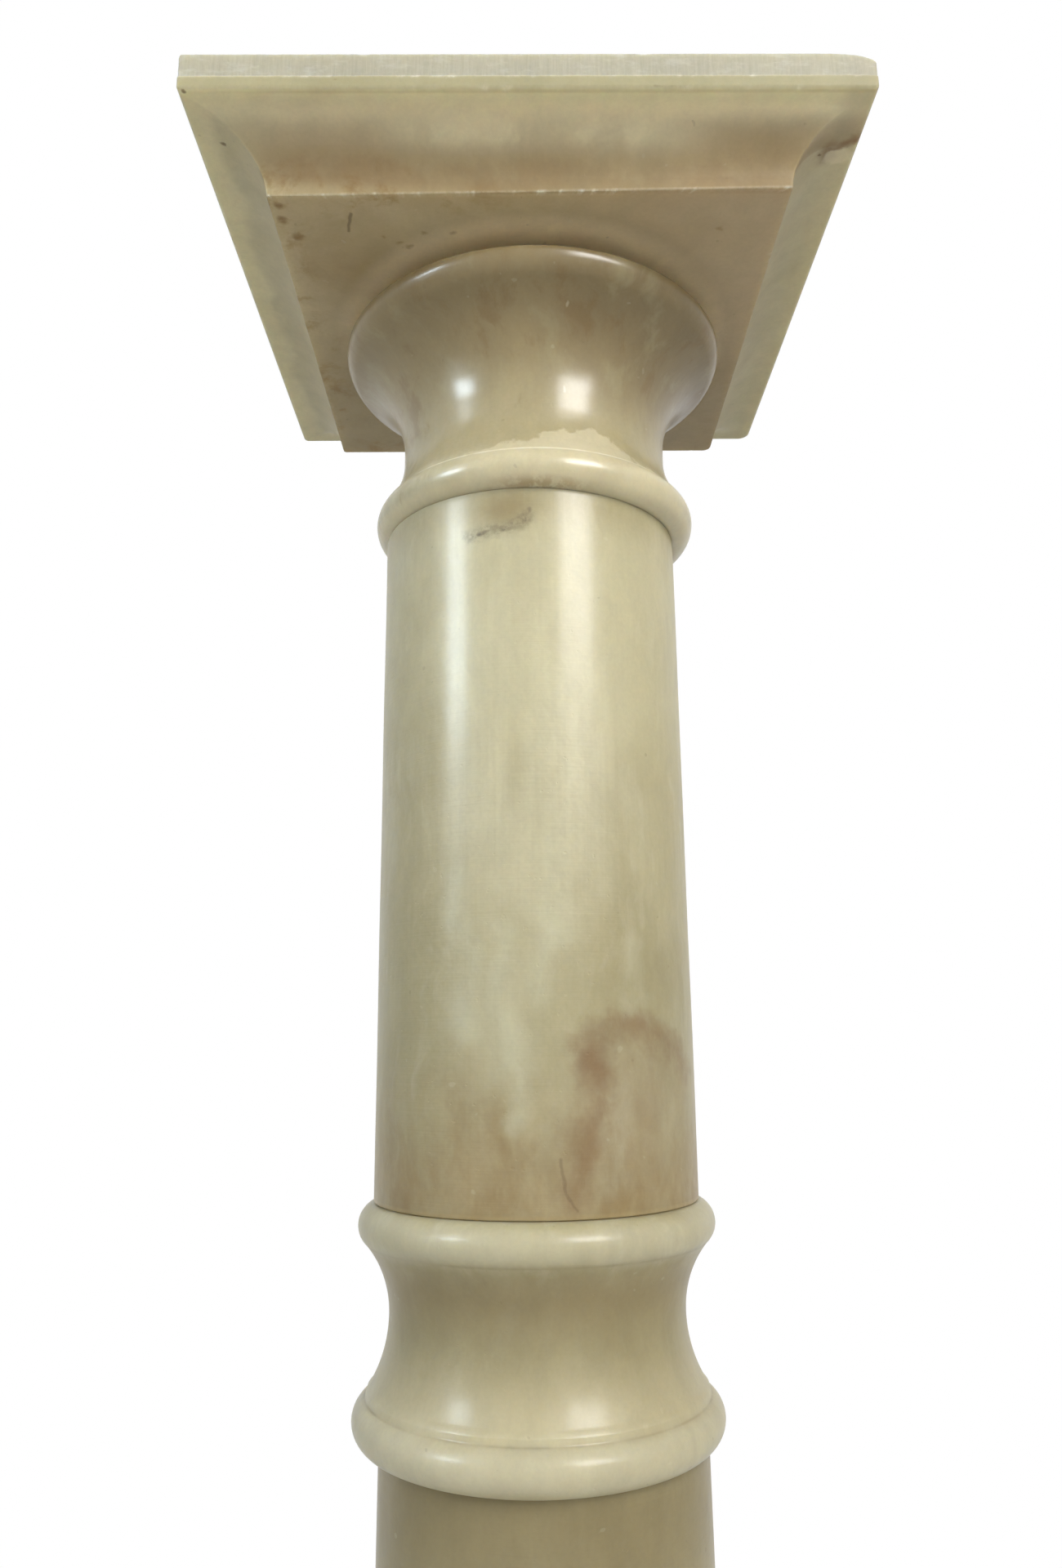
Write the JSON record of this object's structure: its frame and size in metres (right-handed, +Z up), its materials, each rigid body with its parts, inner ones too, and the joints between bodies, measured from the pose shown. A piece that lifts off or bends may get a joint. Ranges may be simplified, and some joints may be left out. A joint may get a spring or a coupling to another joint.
{
  "type": "pedestal column",
  "caption": "Turned stone pedestal column with a square coved top, bell capital, beaded middle knop, round shafts, turned base and square plinth.",
  "frame": {"origin": "centre of the plinth's underside, where the pedestal stands on the floor", "axes": "+Z up along the column's axis, -Y towards the front, +X to the right seen from the front"},
  "size_m": [0.3, 0.3, 1.045],
  "materials": {
    "onyx_slab": "polished green onyx marble, sawn band on the top edge",
    "onyx_turned": "polished green onyx marble, turned",
    "onyx_shaft": "polished green onyx marble with brown veins and pale clouds"
  },
  "bodies": {
    "root": {"abacus": "onyx_slab", "capital": "onyx_turned", "upper_shaft": "onyx_shaft", "knop": "onyx_turned", "lower_shaft": "onyx_shaft", "base_moulding": "onyx_turned", "plinth": "onyx_slab"}
  },
  "joints": []
}
